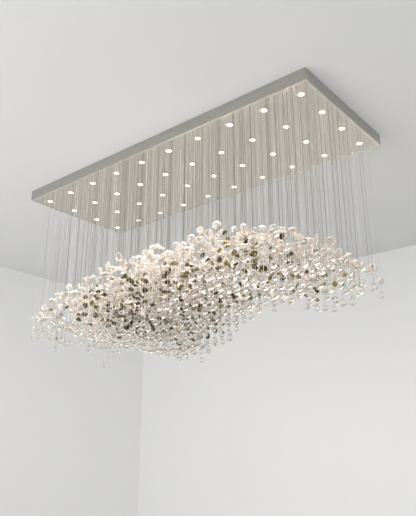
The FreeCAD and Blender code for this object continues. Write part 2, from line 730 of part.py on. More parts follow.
def strand_wire(collars, end):
    """Wire with its stop ball and a swaged collar under each crystal, down to its end."""
    ball, thin, top = size("stop_radius"), size("wire_radius"), stop_level()
    wide, tall = size("collar_radius"), size("collar_height")
    under = top - math.sqrt(ball ** 2 - thin ** 2)
    corners = [(thin, under)]
    for level in collars:
        corners += [(thin, level), (wide, level), (wide, level - tall), (thin, level - tall)]
    corners += [(thin, end), (0, end), (0, top + ball)]
    points = [FreeCAD.Vector(r, 0, z) for r, z in corners]
    stop = Part.Arc(points[-1], FreeCAD.Vector(ball, 0, top), points[0]).toShape()
    return turned_solid([stop] + lines(points))


def choose(draw, depth, outer):
    """Kind of the next piece: large petals above, smoked ones between, beads below. The
    smoked ones stay out of the cloud's ends."""
    off = (depth - size("smoked_middle")) / size("smoked_spread")
    if draw.random() < size("smoked_share") * (1 - off ** 2) * (1 - outer):
        return "smoked"
    shares = (size("petal_weight") * (1 - depth), size("bud_weight"),
              size("bead_weight") * depth ** 2)
    return draw.choices(("petal", "bud", "bead"), [max(share, 0) for share in shares])[0]


def hang_strand(draw, x, y, top, foot, outer, forms, drops):
    """Pieces of one wire from its top down: the wire, its clear and its smoked crystals."""
    clear, smoked, collars = [], [], []
    drop, tall = drops[draw.choice(list(drops))]
    level = -top - draw.uniform(0, size("top_scatter")) * draw.random()
    last = -foot + draw.uniform(0, size("bottom_scatter")) * draw.random()
    widen = 1 + size("thin_out") * outer
    while True:
        kind = choose(draw, min((-top - level) / (foot - top), 1), outer)
        form = draw.choice(forms[kind])
        if collars and level - form.up - form.down < last + tall:
            break
        centre = level - form.up
        piece = moved(form.shape, x, y, centre, draw.uniform(0, 360))
        (smoked if kind == "smoked" else clear).append(piece)
        collars.append(centre + form.collar)
        gap = draw.uniform(size("piece_gap_least"), size("piece_gap_most"))
        level = centre - form.down - gap * widen
    end = collars[-1] - size("collar_height + collar_gap")
    if draw.random() < size("drop_share"):
        tip = max(min(level, last + tall), level - size("tail_most"))
        clear.append(moved(drop, x, y, tip))
        end = tip - size("drop_bore_depth") + size("drop_bore_gap")
    wire = moved(strand_wire(collars, end), x, y, 0)
    return wire, clear, smoked


def strand_rows(rows):
    """Nodes of each row: its wires, its clear crystals and its smoked crystals."""
    stations = range(1, len(CLOUD_TOP) + 1)
    tops = [size("cloud_top_%d" % i) for i in stations]
    feet = [size("cloud_foot_%d" % i) for i in stations]
    forms = {kind: petal_forms(kind) for kind in ("petal", "bud", "smoked")}
    forms["bead"] = [bead_form()]
    drops = {kind: (drop_blank(kind), size(kind + "_length")) for kind in ("drop", "droplet")}
    made = []
    for number, row in enumerate(rows, 1):
        wires, clear, smoked = [], [], []
        for column, (x, y) in enumerate(row):
            place = (x / size("canopy_length - 2 * strand_margin")) + 0.5
            outer = (abs(2 * place - 1) - size("thin_from")) / (1 - size("thin_from"))
            draw = random.Random(1000 * number + column)
            wire, glass, dark = hang_strand(draw, x, y, smooth_at(tops, place),
                                            smooth_at(feet, place), min(max(outer, 0), 1),
                                            forms, drops)
            wires.append(wire)
            clear += glass
            smoked += dark
        made.append(group("row_%02d_wires" % number, wires))
        made.append(group("row_%02d_clear_crystals" % number, clear))
        made.append(group("row_%02d_smoked_crystals" % number, smoked))
    return made


# ---------------------------------------------------------------- build and write
def build():
    fill_sheet()
    rows = strand_grid()
    nodes = ceiling_brackets() + support_rails() + rail_fasteners()
    nodes += [mirror_plate(rows)] + side_panels() + [ledge_screws()]
    nodes += spots() + wiring() + control_gear()
    nodes += strand_rows(rows)
    doc.recompute()
    return nodes


def check(nodes):
    """Stop if any object failed, or any node is empty or invalid."""
    for thing in doc.Objects:
        if "Invalid" in thing.State or "Error" in thing.State:
            raise RuntimeError("%s did not build: %s" % (thing.Name, thing.State))
    for node in nodes:
        node.Label = node.Name
        if node.Shape.isNull() or not node.Shape.isValid() or not node.Shape.Solids:
            raise RuntimeError("%s has no valid solid" % node.Name)


def write(nodes):
    os.makedirs("parts", exist_ok=True)
    for node in nodes:
        node.Shape.exportStep("parts/%s.step" % node.Label)
    solids = sum(len(node.Shape.Solids) for node in nodes)
    print("%d nodes, %d solids" % (len(nodes), solids))


parts = build()
check(parts)
write(parts)
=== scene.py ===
import json
import math
import random

import bpy
import numpy as np
from mathutils import Matrix, Vector

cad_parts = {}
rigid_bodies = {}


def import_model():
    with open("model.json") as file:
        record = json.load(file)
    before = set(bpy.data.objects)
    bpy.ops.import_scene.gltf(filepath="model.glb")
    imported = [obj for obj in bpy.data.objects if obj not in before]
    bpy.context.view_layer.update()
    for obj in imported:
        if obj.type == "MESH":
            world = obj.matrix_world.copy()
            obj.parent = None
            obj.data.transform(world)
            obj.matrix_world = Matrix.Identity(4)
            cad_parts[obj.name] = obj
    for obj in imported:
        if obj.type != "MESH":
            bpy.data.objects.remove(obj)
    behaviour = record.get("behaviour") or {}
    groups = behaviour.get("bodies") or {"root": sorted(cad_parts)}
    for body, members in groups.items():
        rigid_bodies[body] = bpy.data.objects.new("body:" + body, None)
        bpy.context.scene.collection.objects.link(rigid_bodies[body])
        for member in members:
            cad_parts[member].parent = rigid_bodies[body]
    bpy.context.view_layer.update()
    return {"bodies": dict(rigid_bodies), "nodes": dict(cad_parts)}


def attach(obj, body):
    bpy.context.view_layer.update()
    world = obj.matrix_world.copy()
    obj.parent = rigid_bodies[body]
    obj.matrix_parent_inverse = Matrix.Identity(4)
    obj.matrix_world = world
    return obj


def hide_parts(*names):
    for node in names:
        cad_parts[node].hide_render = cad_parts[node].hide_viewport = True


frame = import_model()
nodes = frame["nodes"]
rowNames = sorted(name for name in frame["bodies"] if name.startswith("row_"))
print("frame loaded:", len(nodes), "nodes,", len(rowNames), "rows")


# small helpers

def toLinear(hexColour):
    parts = [int(hexColour[i:i + 2], 16) / 255 for i in (1, 3, 5)]
    return tuple(c / 12.92 if c <= 0.04045 else ((c + 0.055) / 1.055) ** 2.4 for c in parts) + (1.0,)


def addNode(tree, kind, links=None, **settings):
    # settings are sockets when the node has one of that name, else properties
    node = tree.nodes.new(kind)
    for name, value in settings.items():
        socket = name.replace("_", " ")
        if socket in node.inputs:
            node.inputs[socket].default_value = value
        else:
            setattr(node, name, value)
    for socket, source in (links or {}).items():
        tree.links.new(source, node.inputs[socket])
    return node


def newMaterial(name, colour, **settings):
    # a Principled material with constants on its own sockets
    material = bpy.data.materials.new(name)
    material.use_nodes = True
    tree = material.node_tree
    shader = next(n for n in tree.nodes if n.type == "BSDF_PRINCIPLED")
    shader.inputs["Base Color"].default_value = toLinear(colour)
    for socket, value in settings.items():
        shader.inputs[socket.replace("_", " ")].default_value = value
    return material, tree, shader


def stretchedNoise(tree, scale, detail=3):
    # noise in object space, scale in features per metre along x, y and z
    place = addNode(tree, "ShaderNodeTexCoord")
    mapping = addNode(tree, "ShaderNodeMapping", {"Vector": place.outputs["Object"]}, Scale=scale)
    return addNode(tree, "ShaderNodeTexNoise", {"Vector": mapping.outputs[0]}, Scale=1.0, Detail=detail)


def addBump(tree, shader, source, distance, strength=1.0):
    bump = addNode(tree, "ShaderNodeBump", {"Height": source}, Distance=distance, Strength=strength)
    tree.links.new(bump.outputs[0], shader.inputs["Normal"])


def varyRoughness(tree, shader, source, low, high):
    spread = addNode(tree, "ShaderNodeMapRange", {"Value": source}, To_Min=low, To_Max=high)
    tree.links.new(spread.outputs[0], shader.inputs["Roughness"])


def varyColour(tree, shader, source, *stops):
    # stops are (place, colour) pairs
    ramp = addNode(tree, "ShaderNodeValToRGB", {"Fac": source})
    elements = ramp.color_ramp.elements
    while len(elements) < len(stops):
        elements.new(0.5)
    for element, (place, colour) in zip(elements, stops):
        element.position, element.color = place, toLinear(colour)
    tree.links.new(ramp.outputs["Color"], shader.inputs["Base Color"])


def finishNodes(material, *names):
    for name in names:
        slots = nodes[name].data.materials
        slots.clear()
        slots.append(material)


def deselectAll():
    if bpy.context.object and bpy.context.object.mode != "OBJECT":
        bpy.ops.object.mode_set(mode="OBJECT")
    bpy.ops.object.select_all(action="DESELECT")


def selectVerts(obj, test):
    # picks vertices by their place, for the edit operators that follow
    bpy.ops.object.mode_set(mode="OBJECT")
    for part in (obj.data.polygons, obj.data.edges):
        for item in part:
            item.select = False
    for vert in obj.data.vertices:
        vert.select = test(vert.co)
    bpy.ops.object.mode_set(mode="EDIT")
    bpy.ops.mesh.select_mode(type="VERT")


def editNew(name):
    obj = bpy.context.object
    obj.name = obj.data.name = name
    bpy.ops.object.mode_set(mode="EDIT")
    return obj


def closeEdit(obj, smoothAngle=50):
    bpy.ops.mesh.select_all(action="SELECT")
    bpy.ops.mesh.normals_make_consistent(inside=False)
    bpy.ops.object.mode_set(mode="OBJECT")
    bpy.ops.object.shade_smooth_by_angle(angle=math.radians(smoothAngle))
    return obj


# where each crystal and wire of a row hangs, read from the fixed frame

readSettings = {
    "wireGap": 0.02,       # wires of a row stand further apart than this
    "pieceGap": 1e-4,      # free height between two crystals on one wire
    "boreEdge": 0.002,     # points nearer to the wire than this lie on the bore's edge
}


def nodeArrays(name):
    mesh = nodes[name].data
    points = np.empty(len(mesh.vertices) * 3)
    mesh.vertices.foreach_get("co", points)
    mesh.calc_loop_triangles()
    corners = np.empty(len(mesh.loop_triangles) * 3, dtype=np.int64)
    mesh.loop_triangles.foreach_get("vertices", corners)
    return points.reshape(-1, 3), corners.reshape(-1, 3)


def wireAxes(points):
    # one (x, y) for each wire: its points lie close round its axis
    order = points[np.argsort(points[:, 0])]
    breaks = np.nonzero(np.diff(order[:, 0]) > readSettings["wireGap"])[0] + 1
    groups = np.split(order, breaks)
    return [((g[:, 0].min() + g[:, 0].max()) / 2, (g[:, 1].min() + g[:, 1].max()) / 2, g) for g in groups]


def hangingPieces(name, axes):
    # splits a node into its crystals: they never share a height on one wire
    points, corners = nodeArrays(name)
    middle = points[corners].mean(axis=1)
    axisX = np.array([a[0] for a in axes])
    nearest = np.abs(middle[:, 0][:, None] - axisX[None, :]).argmin(axis=1)
    found = []
    for number, (x, y, _) in enumerate(axes):
        mine = corners[nearest == number]
        if not len(mine):
            continue
        high = points[mine][:, :, 2].max(axis=1)
        low = points[mine][:, :, 2].min(axis=1)
        order = np.argsort(-high)
        start, floor = 0, low[order[0]]
        for i in range(1, len(order) + 1):
            if i < len(order) and high[order[i]] > floor - readSettings["pieceGap"]:
                floor = min(floor, low[order[i]])
                continue
            found.append(describePiece(points, mine[order[start:i]], x, y))
            if i < len(order):
                start, floor = i, low[order[i]]
    return found


def describePiece(points, tris, x, y):
    own = points[tris] - np.array([x, y, 0])
    area = np.linalg.norm(np.cross(own[:, 1] - own[:, 0], own[:, 2] - own[:, 0]), axis=1)
    centre = (own.mean(axis=1) * area[:, None]).sum(axis=0) / area.sum()
    flat = own.reshape(-1, 3)
    away = np.hypot(flat[:, 0], flat[:, 1])
    nearBore = flat[away < readSettings["boreEdge"]]
    top, low = flat[:, 2].max(), flat[:, 2].min()
    return {
        "x": x, "y": y, "top": top, "low": low, "reach": away.max(),
        "turn": math.atan2(centre[1], centre[0]),
        "cup": abs(nearBore[:, 2].mean() - low) < abs(nearBore[:, 2].mean() - top),
    }


# camera, at the height of a person looking up

cameraSettings = {
    "place": (2.564, -2.902, -2.021),
    "heading": 39.60, "tilt": 19.07,       # degrees
    "lens": 43.23, "sensor": 36,           # mm
    "clipEnd": 60,
}


def addCamera():
    own = cameraSettings
    data = bpy.data.cameras.new("viewCamera")
    data.lens, data.sensor_width, data.clip_end = own["lens"], own["sensor"], own["clipEnd"]
    camera = bpy.data.objects.new("viewCamera", data)
    camera.location = own["place"]
    camera.rotation_euler = (math.radians(90 + own["tilt"]), 0, math.radians(own["heading"]))
    bpy.context.scene.collection.objects.link(camera)
    bpy.context.scene.camera = camera


addCamera()
print("camera placed")


# crystals: hand-formed petals, drilled beads and drops

petalSettings = {
    "petal": {"radius": 0.030, "wall": 0.0040, "reach": 80},
    "bud": {"radius": 0.022, "wall": 0.0035, "reach": 88},
    "smoked": {"radius": 0.018, "wall": 0.0030, "reach": 74},
    "leans": (0.3, 0.65, 1.0),     # shares of the most that a petal can lean off its wire
    "rimRoom": 0.0045,
    "rimHighlightBand": 0.010,              # how far the painted rim highlight fades up the wall
    "tailRoom": 12,
    "dents": 3,                    # pressed into the hot rim
    "dentWidth": 26,
    "dentScale": 0.91,
    "segments": 12,
    "rings": 8,
}
dropSettings = {
    "drop": {"radius": 0.021, "length": 0.052},
    "droplet": {"radius": 0.0165, "length": 0.042},
    "shoulder": 35,
    "neck": 0.0034,
    "boreDepth": 0.009,
    "segments": 12,
    "rings": 8,
}
beadSettings = {"radius": 0.013, "segments": 10, "rings": 7}
boreRadius = 0.0016
tiny = 1e-5        # how far off its level a vertex is still picked


def petalLean(kind, share):
    own = petalSettings[kind]
    edge = own["reach"] - math.degrees(petalSettings["rimRoom"] / own["radius"])
    return share * min(edge, 180 - petalSettings["tailRoom"] - own["reach"])


def openPole(obj, way):
    # the wire's hole
    top = max(way * v.co.z for v in obj.data.vertices)
    selectVerts(obj, lambda co: way * co.z > top - tiny)
    bpy.ops.mesh.bevel(affect="VERTICES", offset=boreRadius, offset_type="OFFSET", segments=1)
    bpy.ops.mesh.delete(type="FACE")


def modelPetal(kind, share):
    own, shape = petalSettings[kind], petalSettings
    lean, reach = math.radians(petalLean(kind, share)), math.radians(own["reach"])
    axis = Vector((math.sin(lean), 0, math.cos(lean)))
    across = Vector((math.cos(lean), 0, -math.sin(lean)))
    rim = own["radius"] * math.cos(reach)
    deselectAll()
    bpy.ops.mesh.primitive_uv_sphere_add(segments=shape["segments"], ring_count=shape["rings"], radius=own["radius"])
    obj = editNew("%s_%02d" % (kind, round(share * 100)))
    openPole(obj, 1)
    # the leaning cap that is left of the ball
    bpy.ops.mesh.select_all(action="SELECT")
    bpy.ops.mesh.bisect(plane_co=axis * rim, plane_no=axis, clear_inner=True)
    for i in range(shape["dents"]):
        middle = math.tau * (i + 0.5) / shape["dents"]

        def inDent(co):
            turn = math.atan2(co.y, co.dot(across)) - middle
            turn = abs((turn + math.pi) % math.tau - math.pi)
            return co.dot(axis) < rim + tiny and turn < math.radians(shape["dentWidth"])
        selectVerts(obj, inDent)
        bpy.ops.transform.resize(value=(shape["dentScale"],) * 3, center_override=axis * rim)
    bpy.ops.object.mode_set(mode="OBJECT")
    wall = obj.modifiers.new("wall", "SOLIDIFY")
    wall.thickness = own["wall"]
    wall.offset = -1
    bpy.ops.object.modifier_apply(modifier=wall.name)
    bpy.ops.object.mode_set(mode="EDIT")
    closeEdit(obj)
    paintRimHighlight(obj, rim, axis)
    return obj


def paintRimHighlight(obj, level, axis):
    # painted highlight: each vertex's share of extra milk, full at the fire-polished rim and fading up the wall, so
    # that the rim shows bright as if it caught the light
    rimHighlight = [max(0.0, 1 - (vert.co.dot(axis) - level) / petalSettings["rimHighlightBand"]) for vert in obj.data.vertices]
    rim = obj.data.attributes.new("rim", "FLOAT", "POINT")
    rim.data.foreach_set("value", [min(depth, 1.0) for depth in rimHighlight])


def modelBead():
    own = beadSettings
    deselectAll()
    bpy.ops.mesh.primitive_uv_sphere_add(segments=own["segments"], ring_count=own["rings"], radius=own["radius"])
    obj = editNew("bead")
    openPole(obj, 1)
    openPole(obj, -1)
    selectVerts(obj, lambda co: math.hypot(co.x, co.y) < boreRadius * 1.2)
    bpy.ops.mesh.bridge_edge_loops()
    return closeEdit(obj)


def modelDrop(kind):
    own, shape = dropSettings[kind], dropSettings
    middle, shoulder = own["radius"] - own["length"], math.radians(shape["shoulder"])
    level, wide = middle + own["radius"] * math.sin(shoulder), own["radius"] * math.cos(shoulder)
    deselectAll()
    bpy.ops.mesh.primitive_uv_sphere_add(segments=shape["segments"], ring_count=shape["rings"],
                                         radius=own["radius"], location=(0, 0, middle))
    bpy.ops.object.transform_apply(location=True, rotation=False, scale=False)
    obj = editNew(kind)
    bpy.ops.mesh.select_all(action="SELECT")
    bpy.ops.mesh.bisect(plane_co=(0, 0, level), plane_no=(0, 0, 1), clear_outer=True)
    selectVerts(obj, lambda co: co.z > level - tiny)
    # drawn up to the tip, then the drilled hole down into it
    for rise, scale in ((-level, shape["neck"] / wide), (0, boreRadius / shape["neck"]), (-shape["boreDepth"], 1)):
        bpy.ops.mesh.extrude_edges_move(TRANSFORM_OT_translate={"value": (0, 0, rise)})
        bpy.ops.transform.resize(value=(scale, scale, 1))
    bpy.ops.mesh.edge_face_add()
    return closeEdit(obj)


def makeForms():
    forms = {(kind, i): modelPetal(kind, share)
             for kind in ("petal", "bud", "smoked") for i, share in enumerate(petalSettings["leans"])}
    forms["bead", 0] = modelBead()
    forms["drop", 0] = modelDrop("drop")
    forms["droplet", 0] = modelDrop("droplet")
    return forms


def formSizes():
    # how far each form reaches off its wire, and how tall it hangs
    sizes = {("bead", 0): (beadSettings["radius"], 2 * beadSettings["radius"])}
    for kind in ("drop", "droplet"):
        sizes[kind, 0] = (dropSettings[kind]["radius"], dropSettings[kind]["length"])
    for kind in ("petal", "bud", "smoked"):
        radius = petalSettings[kind]["radius"]
        for i, share in enumerate(petalSettings["leans"]):
            far = math.radians(petalLean(kind, share) + petalSettings[kind]["reach"])
            sizes[kind, i] = (radius * math.sin(min(far, math.pi / 2)), radius * (1 - math.cos(far)))
    return sizes


milkSettings = {
    "bead": (0.0, 0.03, 0.04),         # painted shade: one cast bead in three is tinted a darker grey, standing in for the dark things seen through it
    "drop": 0.03,
    "petal": (0.2, 0.6),               # least and most milk in a petal's wall
    "footLevel": -1.3, "footDepth": 0.35, "footLeast": 0.25,   # the smoked ones darken towards the cloud's foot
}


def milkShare(kind, level, draw):
    own = milkSettings
    # all three are drawn for each piece, in this order, so that every row keeps its own look
    bead, petal = draw.choice(own["bead"]), draw.uniform(*own["petal"])
    if kind == "smoked":
        depth = (level - own["footLevel"]) / own["footDepth"]
        return draw.random() * min(max(depth, own["footLeast"]), 1.0)
    return {"bead": bead, "drop": own["drop"], "droplet": own["drop"]}.get(kind, petal)


def placeCrystal(form, piece, forms, draw):
    mesh = forms[form].data.copy()
    turn, level = draw.uniform(0, math.tau), piece["top"]
    if form[0] == "bead":
        level = (piece["top"] + piece["low"]) / 2
    elif form[0] in petalSettings:
        radius, turn = petalSettings[form[0]]["radius"], piece["turn"]
        level = piece["low"] + radius if piece["cup"] else piece["top"] - radius
    place = Matrix.Translation((piece["x"], piece["y"], level)) @ Matrix.Rotation(turn, 4, "Z")
    if form[0] in petalSettings and piece["cup"]:
        place = place @ Matrix.Rotation(math.pi, 4, "X")
    mesh.transform(place)
    milk = milkShare(form[0], level, draw)
    shares = [milk] * len(mesh.vertices)
    # painted highlight: the clear petals get the rim's extra milk on top of their own, which whitens their rims
    rim = mesh.attributes.get("rim")
    if rim and form[0] != "smoked":
        shares = [milk + (1 - milk) * item.value for item in rim.data]
    if rim:
        mesh.attributes.remove(rim)
    lot = mesh.attributes.new("lot", "FLOAT", "POINT")
    lot.data.foreach_set("value", shares)
    return mesh


def joinMeshes(name, meshes, material):
    # joins finished copies into one piece
    deselectAll()
    parts = [bpy.data.objects.new(name, mesh) for mesh in meshes]
    for part in parts:
        bpy.context.scene.collection.objects.link(part)
        part.select_set(True)
    bpy.context.view_layer.objects.active = parts[0]
    bpy.ops.object.join()
    joined = bpy.context.object
    joined.data.materials.clear()
    joined.data.materials.append(material)
    return joined


def clearCrystal():
    # fire-polished crystal: water clear beads, petals with a warm milky wall that catches the spots' light
    material, tree, shader = newMaterial("leadCrystal", "#fcf6f1", Roughness=0.05, IOR=1.52)
    lot = addNode(tree, "ShaderNodeAttribute", attribute_name="lot")
    # the petals' painted rim highlight raises lot, which takes clearness away and whitens the rim
    clear = addNode(tree, "ShaderNodeMapRange", {"Value": lot.outputs["Fac"]}, To_Min=1.0, To_Max=0.25)
    tree.links.new(clear.outputs[0], shader.inputs["Transmission Weight"])
    # painted shade: the darkest stop, at lot 0, greys one bead in three
    varyColour(tree, shader, lot.outputs["Fac"], (0.0, "#b4afa1"), (0.03, "#fdfaf6"), (1.0, "#fcf2e9"))
    return material


def smokedCrystal():
    # smoked crystal: olive where light comes through; its tone is drawn at random for each piece, from near black to
    # light olive, and is darker towards the cloud's foot
    material, tree, shader = newMaterial("smokedCrystal", "#5c5232", Roughness=0.07, IOR=1.52,
                                         Transmission_Weight=0.7)
    lot = addNode(tree, "ShaderNodeAttribute", attribute_name="lot")
    varyColour(tree, shader, lot.outputs["Fac"], (0.0, "#3d361b"), (0.5, "#877943"), (1.0, "#c2b16c"))
    return material


def hangCrystals():
    forms, sizes = makeForms(), formSizes()
    glass, smoke = clearCrystal(), smokedCrystal()
    for body in rowNames:
        axes = wireAxes(nodeArrays(body + "_wires")[0])
        draw = random.Random(int(body[-2:]))
        for kind, material in (("clear", glass), ("smoked", smoke)):
            node = "%s_%s_crystals" % (body, kind)
            choice = [f for f in sizes if (f[0] == "smoked") == (kind == "smoked")]
            meshes = []
            for piece in hangingPieces(node, axes):
                tall = piece["top"] - piece["low"]
                form = min(choice, key=lambda f: abs(sizes[f][0] - piece["reach"]) + abs(sizes[f][1] - tall))
                meshes.append(placeCrystal(form, piece, forms, draw))
            joined = joinMeshes("%s_%s_glass" % (body, kind), meshes, material)
            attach(joined, body)
            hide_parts(node)
    for form in forms.values():
        bpy.data.objects.remove(form)


hangCrystals()
print("crystals hung")


# wires: steel rope with a stop ball above the plate and a swaged collar under each crystal

wireSettings = {
    "radius": 0.0012,
    "collarRadius": 0.0026, "collarHeight": 0.003, "collarEdge": 0.0004,
    "stopRadius": 0.004, "stopRoom": 0.02,     # no collar stands this near to the wire's top
    "ledgeRoom": 0.00015,                      # points this near to the collar's radius lie on its edge
}


def modelWireParts():
    own = wireSettings
    deselectAll()
    bpy.ops.mesh.primitive_cylinder_add(vertices=6, radius=own["radius"], depth=1)
    rod = closeEdit(editNew("rope"), 80)
    deselectAll()
    bpy.ops.mesh.primitive_cylinder_add(vertices=8, radius=own["collarRadius"], depth=own["collarHeight"])
    collar = editNew("collar")
    bpy.ops.mesh.select_all(action="SELECT")
    bpy.ops.mesh.bevel(offset=own["collarEdge"], segments=1)
    collar = closeEdit(collar)
    deselectAll()
    bpy.ops.mesh.primitive_uv_sphere_add(segments=8, ring_count=6, radius=own["stopRadius"])
    ball = closeEdit(editNew("stop"), 80)
    return rod, collar, ball


def ropeSteel():
    # bright wire rope; painted highlight and painted dark reflection: each wire's colour is drawn at random from grey
    # to white, standing in for the light it catches or the dark room it mirrors
    material, tree, shader = newMaterial("ropeSteel", "#b0ada8", Metallic=1.0, Roughness=0.3)
    lot = addNode(tree, "ShaderNodeAttribute", attribute_name="lot")
    varyColour(tree, shader, lot.outputs["Fac"], (0.0, "#7d7b77"), (0.5, "#e0ddd9"), (1.0, "#ffffff"))
    return material


def hangWires():
    rod, collar, ball = modelWireParts()
    own = wireSettings
    steel = ropeSteel()
    for body in rowNames:
        node = body + "_wires"
        draw = random.Random(body)
        meshes = []
        for x, y, points in wireAxes(nodeArrays(node)[0]):
            away = np.hypot(points[:, 0] - x, points[:, 1] - y)
            top, low = points[:, 2].max(), points[:, 2].min()
            length = top - own["stopRadius"] - low
            onEdge = np.abs(away - own["collarRadius"]) < own["ledgeRoom"]
            ledges = onEdge & (points[:, 2] < top - own["stopRoom"])
            levels = np.unique(np.round(points[ledges][:, 2], 5))[::-1][::2] - own["collarHeight"] / 2
            rope = rod.data.copy()
            rope.transform(Matrix.Diagonal((1, 1, length, 1)))
            parts = [(rope, low + length / 2), (ball.data.copy(), top - own["stopRadius"])]
            parts += [(collar.data.copy(), level) for level in levels]
            # each wire's painted brightness, drawn at random
            share = draw.random()
            for mesh, level in parts:
                mesh.transform(Matrix.Translation((x, y, level)))
                lot = mesh.attributes.new("lot", "FLOAT", "POINT")
                lot.data.foreach_set("value", [share] * len(mesh.vertices))
                meshes.append(mesh)
        joined = joinMeshes(body + "_ropes", meshes, steel)
        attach(joined, body)
        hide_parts(node)
    for part in (rod, collar, ball):
        bpy.data.objects.remove(part)


hangWires()
print("wires hung")


# canopy metalwork

def polishedPlate():
    # mirror polished stainless: warm, with the faint waves of rolled sheet that blur the wires' images
    material, tree, shader = newMaterial("mirrorStainless", "#d0cbc3", Metallic=1.0, Roughness=0.07)
    waves = stretchedNoise(tree, (9.0, 9.0, 1.0), 1)
    addBump(tree, shader, waves.outputs["Fac"], 0.0003, 0.12)
    grain = stretchedNoise(tree, (30.0, 900.0, 1.0), 2)
    varyRoughness(tree, shader, grain.outputs["Fac"], 0.04, 0.12)
    finishNodes(material, "mirror_plate")


def satinPanels():
    # satin stainless skirts, their grain running along each panel
    for name, scale, panels in (("satinLong", (6.0, 700.0, 700.0), ("side_panel_front", "side_panel_back")),
                                ("satinShort", (700.0, 6.0, 700.0), ("end_panel_left", "end_panel_right"))):
        material, tree, shader = newMaterial(name, "#bcb9b4", Metallic=1.0, Roughness=0.26)
        # the lower edge is taken as polished; its lighter colour is a painted highlight that shows as a thin bright
        # line
        place = addNode(tree, "ShaderNodeTexCoord")
        axes = addNode(tree, "ShaderNodeSeparateXYZ", {"Vector": place.outputs["Object"]})
        edgeHighlight = addNode(tree, "ShaderNodeMapRange", {"Value": axes.outputs["Z"]}, From_Min=-0.0760, From_Max=-0.0775)
        varyColour(tree, shader, edgeHighlight.outputs[0], (0.0, "#bcb9b4"), (1.0, "#dcd8d2"))
        grain = stretchedNoise(tree, scale)
        addBump(tree, shader, grain.outputs["Fac"], 0.00008, 0.5)
        varyRoughness(tree, shader, grain.outputs["Fac"], 0.2, 0.32)
        finishNodes(material, *panels)


def spotParts():
    # bezels in satin nickel, with a soft sheen round the lens
    bezel, tree, shader = newMaterial("satinNickel", "#e0dad0", Metallic=1.0, Roughness=0.3)
    turned = stretchedNoise(tree, (500.0, 500.0, 500.0), 1)
    varyRoughness(tree, shader, turned.outputs["Fac"], 0.24, 0.36)
    finishNodes(bezel, "spot_bezels")
    # frosted lens, lit warm white from behind
    lens, tree, shader = newMaterial("frostedLens", "#fffaf2", Roughness=0.4, Emission_Strength=3.5)
    shader.inputs["Emission Color"].default_value = toLinear("#fff4e4")
    finishNodes(lens, "spot_lenses")


def hiddenFittings():
    # zinc-plated steel: cool grey with a faint spangle
    zinc, tree, shader = newMaterial("zincPlate", "#a9adb0", Metallic=1.0, Roughness=0.38)
    spangle = addNode(tree, "ShaderNodeTexVoronoi", {"Vector": addNode(tree, "ShaderNodeTexCoord").outputs["Object"]},
                      Scale=160.0)
    varyColour(tree, shader, spangle.outputs["Color"], (0.0, "#9a9fa3"), (1.0, "#b9bcbe"))
    varyRoughness(tree, shader, spangle.outputs["Distance"], 0.3, 0.46)
    finishNodes(zinc, *[n for n in nodes if n.startswith(("ceiling_bracket", "support_rail")) or n in (
        "rail_nuts", "plate_studs", "plate_nuts", "ledge_screws")])
    # black anodised aluminium: matt, with turning marks
    black, tree, shader = newMaterial("blackAnodised", "#26272a", Metallic=1.0, Roughness=0.5)
    turning = stretchedNoise(tree, (20.0, 20.0, 2500.0), 1)
    addBump(tree, shader, turning.outputs["Fac"], 0.00004, 0.5)
    varyRoughness(tree, shader, turning.outputs["Fac"], 0.42, 0.58)
    finishNodes(black, "spot_retaining_rings", "spot_heat_sinks")
    # white solder mask on the lamp boards
    mask, tree, shader = newMaterial("whiteSolderMask", "#eceeec", Roughness=0.35)
    weave = stretchedNoise(tree, (900.0, 900.0, 900.0), 1)
    varyRoughness(tree, shader, weave.outputs["Fac"], 0.28, 0.42)
    finishNodes(mask, "led_boards")
    # yellow phosphor, slightly grainy
    phosphor, tree, shader = newMaterial("yellowPhosphor", "#f2d66a", Roughness=0.55)
    grain = stretchedNoise(tree, (3000.0, 3000.0, 3000.0), 1)
    varyColour(tree, shader, grain.outputs["Fac"], (0.3, "#ecc94f"), (0.7, "#f7e08a"))
    finishNodes(phosphor, "led_chips")
    # white moulded driver cases, fine spark texture
    case, tree, shader = newMaterial("whiteMoulding", "#e9e9e6", Roughness=0.5)
    spark = stretchedNoise(tree, (1500.0, 1500.0, 1500.0), 1)
    addBump(tree, shader, spark.outputs["Fac"], 0.00005, 0.6)
    varyRoughness(tree, shader, spark.outputs["Fac"], 0.44, 0.58)
    finishNodes(case, "led_drivers")
    # natural nylon of the terminal block and the cord clamp: waxy
    nylon, tree, shader = newMaterial("naturalNylon", "#d9d6cb", Roughness=0.42)
    cloud = stretchedNoise(tree, (120.0, 120.0, 120.0), 2)
    varyColour(tree, shader, cloud.outputs["Fac"], (0.3, "#d1cdc0"), (0.7, "#dfdcd2"))
    finishNodes(nylon, "terminal_block", "cord_clamp")
    # turned brass, slightly dulled
    brass, tree, shader = newMaterial("turnedBrass", "#c9a45a", Metallic=1.0, Roughness=0.3)
    tarnish = stretchedNoise(tree, (250.0, 250.0, 250.0), 2)
    varyColour(tree, shader, tarnish.outputs["Fac"], (0.3, "#b8914a"), (0.7, "#d6b36b"))
    finishNodes(brass, "earth_stud")
    # black flexible sheath: soft sheen with a dusting of powder
    sheath, tree, shader = newMaterial("blackSheath", "#202021", Roughness=0.6)
    dust = stretchedNoise(tree, (60.0, 60.0, 60.0), 3)
    varyColour(tree, shader, dust.outputs["Fac"], (0.35, "#1b1b1c"), (0.75, "#2e2e2f"))
    varyRoughness(tree, shader, dust.outputs["Fac"], 0.5, 0.7)
    finishNodes(sheath, "lamp_leads", "mains_leads")


polishedPlate()
satinPanels()
spotParts()
hiddenFittings()
print("canopy finished")


# room: ceiling, two walls and a floor, seen from inside only

